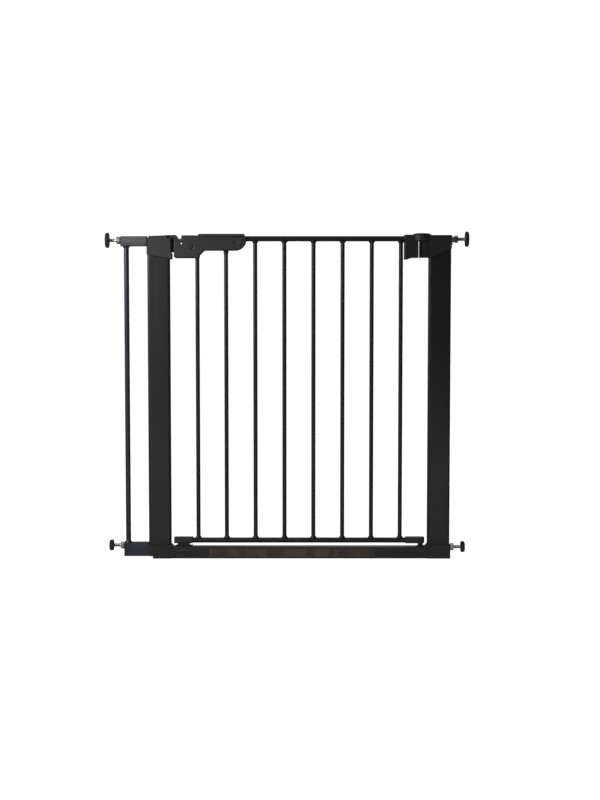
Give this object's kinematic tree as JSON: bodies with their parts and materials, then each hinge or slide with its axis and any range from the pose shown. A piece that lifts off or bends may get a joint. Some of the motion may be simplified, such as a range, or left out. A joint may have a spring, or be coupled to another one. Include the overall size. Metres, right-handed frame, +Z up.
{
  "type": "safety baby gate",
  "caption": "Pressure-mounted doorway safety gate: a barred door that lifts and swings both ways in a U-shaped frame, a side extension and threaded wall spindles.",
  "frame": {"origin": "on the floor, under the middle of the whole gate with its wall pads", "axes": "+X towards the hinge side, +Y towards the back, +Z up"},
  "size_m": [0.8138, 0.042, 0.7365],
  "materials": {
    "painted_steel": "satin charcoal powder coat",
    "grey_paint": "satin grey powder coat with a soft sheen",
    "housing_plastic": "fine-grained dark moulded plastic",
    "bush_plastic": "natural nylon",
    "zinc_steel": "bright zinc plate",
    "black_screws": "blackened steel",
    "pad_rubber": "matt black rubber",
    "printed_strip": "plain dull brown printed film, no lettering"
  },
  "bodies": {
    "frame": {"left_post": "painted_steel", "right_post": "painted_steel", "left_foot": "painted_steel", "right_foot": "painted_steel", "threshold_rail": "painted_steel", "threshold_strip": "printed_strip", "latch_keeper": "housing_plastic", "hinge_housing": "housing_plastic", "housing_screws": "zinc_steel", "hinge_pin": "zinc_steel", "lower_catch": "housing_plastic", "lower_hinge_socket": "housing_plastic", "extension_top_tube": "grey_paint", "extension_foot_tube": "grey_paint", "extension_bar": "grey_paint", "extension_outer_caps": "housing_plastic", "extension_inner_caps": "housing_plastic", "extension_studs": "zinc_steel", "spindle_washers": "zinc_steel", "spindle_ferrule": "zinc_steel"},
    "lift_bush": {"hinge_bush": "bush_plastic"},
    "door": {"door_top_rail": "painted_steel", "door_bottom_rail": "painted_steel", "door_bar_1": "painted_steel", "door_bar_2": "painted_steel", "door_bar_3": "painted_steel", "door_bar_4": "painted_steel", "door_bar_5": "painted_steel", "door_bar_6": "painted_steel", "door_bar_7": "painted_steel", "door_bar_8": "painted_steel", "bar_collar": "housing_plastic", "handle_front_shell": "housing_plastic", "handle_back_shell": "housing_plastic", "handle_screws": "black_screws", "latch_rivet": "zinc_steel", "hinge_wing": "housing_plastic", "hinge_cap": "housing_plastic", "lower_hinge_block": "housing_plastic", "lower_latch_block": "housing_plastic", "return_spring": "zinc_steel"},
    "latch_slide": {"thumb_slide": "housing_plastic", "slide_link": "zinc_steel", "latch_bolt": "housing_plastic"},
    "adjuster_top_left": {"nut_top_left": "zinc_steel"},
    "adjuster_top_right": {"nut_top_right": "zinc_steel"},
    "adjuster_low_left": {"nut_low_left": "zinc_steel"},
    "adjuster_low_right": {"nut_low_right": "zinc_steel"},
    "spindle_top_left": {"rod_top_left": "zinc_steel", "pad_top_left": "pad_rubber"},
    "spindle_top_right": {"rod_top_right": "zinc_steel", "pad_top_right": "pad_rubber"},
    "spindle_low_left": {"rod_low_left": "zinc_steel", "pad_low_left": "pad_rubber"},
    "spindle_low_right": {"rod_low_right": "zinc_steel", "pad_low_right": "pad_rubber"}
  },
  "joints": [
    {"name": "door_lift", "type": "slide", "parent": "frame", "child": "lift_bush", "axis": [0, 0, 1], "range_m": [0, 0.01]},
    {"name": "door_swing", "type": "hinge", "parent": "lift_bush", "child": "door", "pos_m": [0.30215, 0, 0.7], "axis": [0, 0, 1], "range_deg": [-90, 90]},
    {"name": "thumb_slide", "type": "slide", "parent": "door", "child": "latch_slide", "axis": [1, 0, 0], "range_m": [0, 0.008], "stiffness_N_per_m": 250, "springref_m": -0.012, "deforming": ["return_spring"]},
    {"name": "turn_nut_top_left", "type": "hinge", "parent": "frame", "child": "adjuster_top_left", "pos_m": [-0.37385, 0, 0.7169], "axis": [1, 0, 0], "range_deg": [-2310, 4040]},
    {"name": "turn_nut_top_right", "type": "hinge", "parent": "frame", "child": "adjuster_top_right", "pos_m": [0.37485, 0, 0.7195], "axis": [-1, 0, 0], "range_deg": [-2310, 4040]},
    {"name": "turn_nut_low_left", "type": "hinge", "parent": "frame", "child": "adjuster_low_left", "pos_m": [-0.36975, 0, 0.0287], "axis": [1, 0, 0], "range_deg": [-2310, 4040]},
    {"name": "turn_nut_low_right", "type": "hinge", "parent": "frame", "child": "adjuster_low_right", "pos_m": [0.36995, 0, 0.025], "axis": [-1, 0, 0], "range_deg": [-2310, 4040]},
    {"name": "extend_top_left", "type": "slide", "parent": "frame", "child": "spindle_top_left", "axis": [-1, 0, 0], "range_m": [-0.008, 0.014]},
    {"name": "extend_top_right", "type": "slide", "parent": "frame", "child": "spindle_top_right", "axis": [1, 0, 0], "range_m": [-0.008, 0.014]},
    {"name": "extend_low_left", "type": "slide", "parent": "frame", "child": "spindle_low_left", "axis": [-1, 0, 0], "range_m": [-0.008, 0.014]},
    {"name": "extend_low_right", "type": "slide", "parent": "frame", "child": "spindle_low_right", "axis": [1, 0, 0], "range_m": [-0.008, 0.014]}
  ],
  "couplings": [
    {"joint": "turn_nut_top_left", "follows": "extend_top_left", "rad_per_m": 5026.5},
    {"joint": "turn_nut_top_right", "follows": "extend_top_right", "rad_per_m": 5026.5},
    {"joint": "turn_nut_low_left", "follows": "extend_low_left", "rad_per_m": 5026.5},
    {"joint": "turn_nut_low_right", "follows": "extend_low_right", "rad_per_m": 5026.5}
  ]
}
